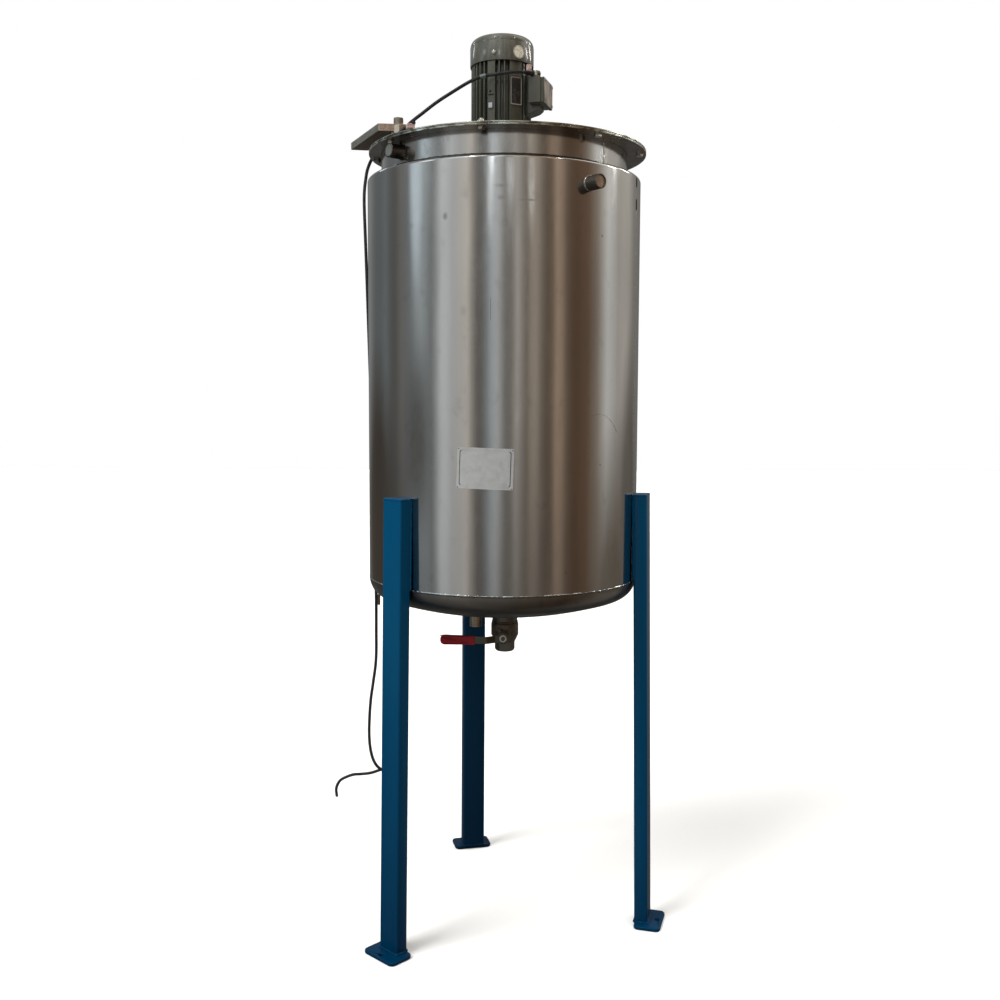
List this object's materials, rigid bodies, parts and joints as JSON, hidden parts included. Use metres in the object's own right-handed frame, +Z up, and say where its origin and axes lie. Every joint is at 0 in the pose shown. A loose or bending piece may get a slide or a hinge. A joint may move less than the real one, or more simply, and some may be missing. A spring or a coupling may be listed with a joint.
{
  "type": "vertical mixing tank",
  "caption": "Vertical jacketed steel mixing tank on legs, with a flanged lid, top-mounted drive motor and a bottom outlet ball valve with a turning lever.",
  "frame": {"origin": "middle of the footprint's bounding box on the floor; the tank's own axis stands 13.4 mm to -X and 44.1 mm to -Y of it", "axes": "+Z up along the tank; the side with the label plate and the valve lever faces -Y; +X is to the right seen from there"},
  "size_m": [0.9752, 0.8468, 2.438],
  "materials": {
    "stainless": "brushed, lightly scratched",
    "dark_stainless": "dull, heat-tinted at the weld",
    "blue_enamel": "glossy enamel",
    "motor_paint": "semi-gloss over cast metal",
    "bare_steel": "bare, stained with rust",
    "plated_steel": "zinc plated",
    "label": "matt printed white, left blank",
    "nameplate": "matt, left blank",
    "lever_plastic": "dipped vinyl",
    "gland_plastic": "moulded",
    "cable_sheath": "smooth"
  },
  "bodies": {
    "tank": {"jacket_shell": "stainless", "jacket_shoulder": "stainless", "jacket_bottom": "dark_stainless", "vessel_wall": "stainless", "vessel_bottom": "stainless", "vessel_flange": "stainless", "lid_plate": "stainless", "collar_nozzle": "stainless", "jacket_socket": "stainless", "drain_nipple": "dark_stainless", "label_plate": "label", "leg_left": "blue_enamel", "leg_right": "blue_enamel", "leg_back": "blue_enamel", "leg_cap_left": "blue_enamel", "leg_cap_right": "blue_enamel", "leg_cap_back": "blue_enamel", "foot_plate_left": "blue_enamel", "foot_plate_right": "blue_enamel", "foot_plate_back": "blue_enamel", "outlet_pipe": "stainless", "valve_body": "dark_stainless", "motor_flange": "motor_paint", "motor_frame": "motor_paint", "fan_cowl": "motor_paint", "motor_nameplate": "nameplate", "terminal_box": "motor_paint", "terminal_box_lid": "motor_paint", "cable_gland": "gland_plastic", "lid_bracket": "bare_steel", "bracket_packer": "bare_steel", "bracket_bolt": "bare_steel", "power_cable": "cable_sheath"},
    "lever": {"lever_nut": "plated_steel", "lever_arm": "plated_steel", "lever_sleeve": "lever_plastic"}
  },
  "joints": [
    {"name": "valve_lever_turn", "type": "hinge", "parent": "tank", "child": "lever", "pos_m": [-0.01076, -0.09391, 0.791], "axis": [-0.0872, -0.9962, 0], "range_deg": [0, 90]}
  ]
}
